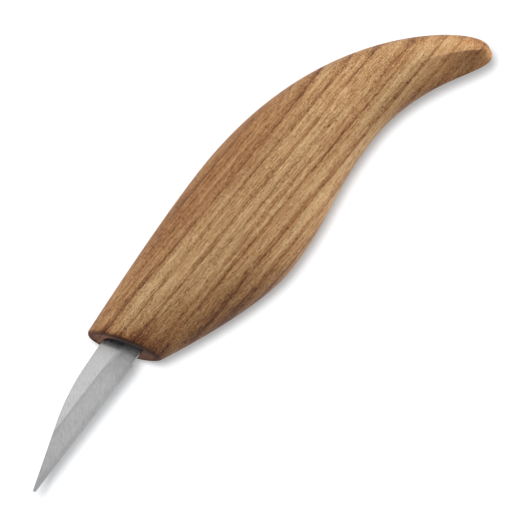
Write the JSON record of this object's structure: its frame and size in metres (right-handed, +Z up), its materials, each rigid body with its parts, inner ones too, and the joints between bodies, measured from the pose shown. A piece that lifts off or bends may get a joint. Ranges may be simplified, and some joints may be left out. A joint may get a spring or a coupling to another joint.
{
  "type": "wood carving knife",
  "caption": "Wood carving knife with a short pointed straight-edged detail blade, its hidden tang glued into a palm-filling hardwood handle with a drooping tail.",
  "frame": {"origin": "on the surface that the knife lies on, under the middle of its bounding box", "axes": "+X along the cutting edge to the tip, +Y to the cutting edge's side, +Z up, out of the blade's left face"},
  "size_m": [0.1582, 0.0404, 0.0241],
  "materials": {
    "oiled_hardwood": "sanded and oiled, open grain",
    "blade_steel": "satin ground, honed edge",
    "dark_epoxy": "cured, slightly glossy"
  },
  "bodies": {
    "root": {"handle": "oiled_hardwood", "blade": "blade_steel", "glue_bed": "dark_epoxy"}
  },
  "joints": []
}
